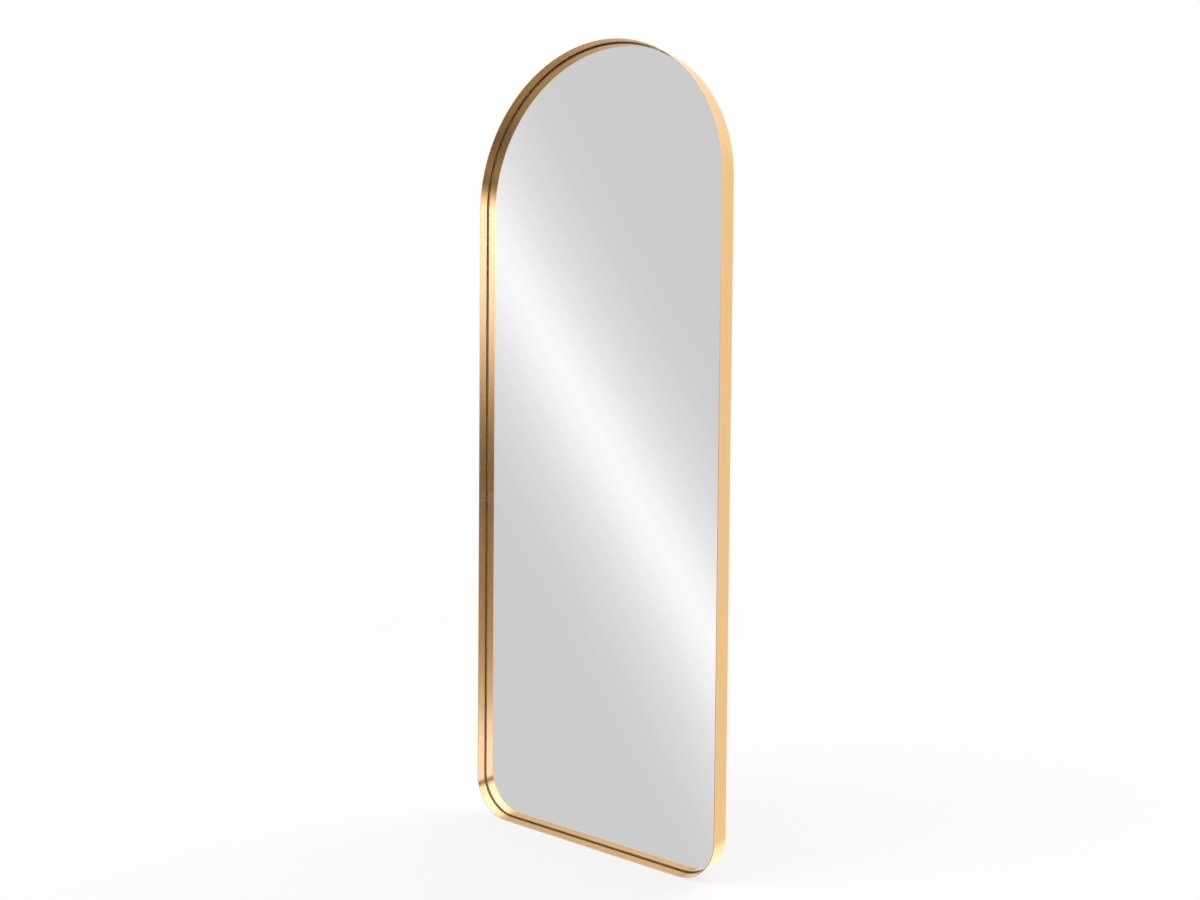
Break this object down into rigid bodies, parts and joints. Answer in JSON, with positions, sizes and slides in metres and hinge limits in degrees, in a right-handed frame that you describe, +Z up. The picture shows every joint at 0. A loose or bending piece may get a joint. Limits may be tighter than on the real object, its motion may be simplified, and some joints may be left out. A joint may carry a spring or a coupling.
{
  "type": "leaning floor mirror",
  "caption": "Tall arched mirror in a deep brushed-gold band, with a recessed pane, a backing board, floor pads, wall bumpers and swinging tether rings.",
  "frame": {"origin": "on the floor, under the middle of the mirror", "axes": "+Z up, the mirror faces -Y, +X to the right of somebody looking into it"},
  "size_m": [0.612, 0.046, 1.6498],
  "materials": {
    "brushed_gold": "brushed lengthwise, gold coated",
    "plated_steel": "zinc plated",
    "screw_steel": "zinc plated",
    "ring_steel": "nickel plated",
    "mirror_pane": "silvered float glass",
    "clear_film": "thin film",
    "foam_tape": "foam",
    "fibreboard": "raw fibreboard",
    "clear_rubber": "clear, soft",
    "black_rubber": "matt"
  },
  "bodies": {
    "mirror": {"frame_band": "brushed_gold", "joint_bracket": "plated_steel", "fixing_tabs": "plated_steel", "tab_screws": "screw_steel", "mirror_glass": "mirror_pane", "safety_film": "clear_film", "mounting_tape": "foam_tape", "edge_spacers": "black_rubber", "backing_board": "fibreboard", "tether_strap_left": "plated_steel", "tether_strap_right": "plated_steel", "strap_screws": "screw_steel", "floor_pads": "clear_rubber", "wall_bumpers": "black_rubber"},
    "left_ring": {"tether_ring_left": "ring_steel"},
    "right_ring": {"tether_ring_right": "ring_steel"}
  },
  "joints": [
    {"name": "left_ring_swing", "type": "hinge", "parent": "mirror", "child": "left_ring", "pos_m": [-0.262, 0.01556, 1.268], "axis": [1, 0, 0], "range_deg": [-3, 170]},
    {"name": "right_ring_swing", "type": "hinge", "parent": "mirror", "child": "right_ring", "pos_m": [0.262, 0.01556, 1.268], "axis": [1, 0, 0], "range_deg": [-3, 170]}
  ]
}
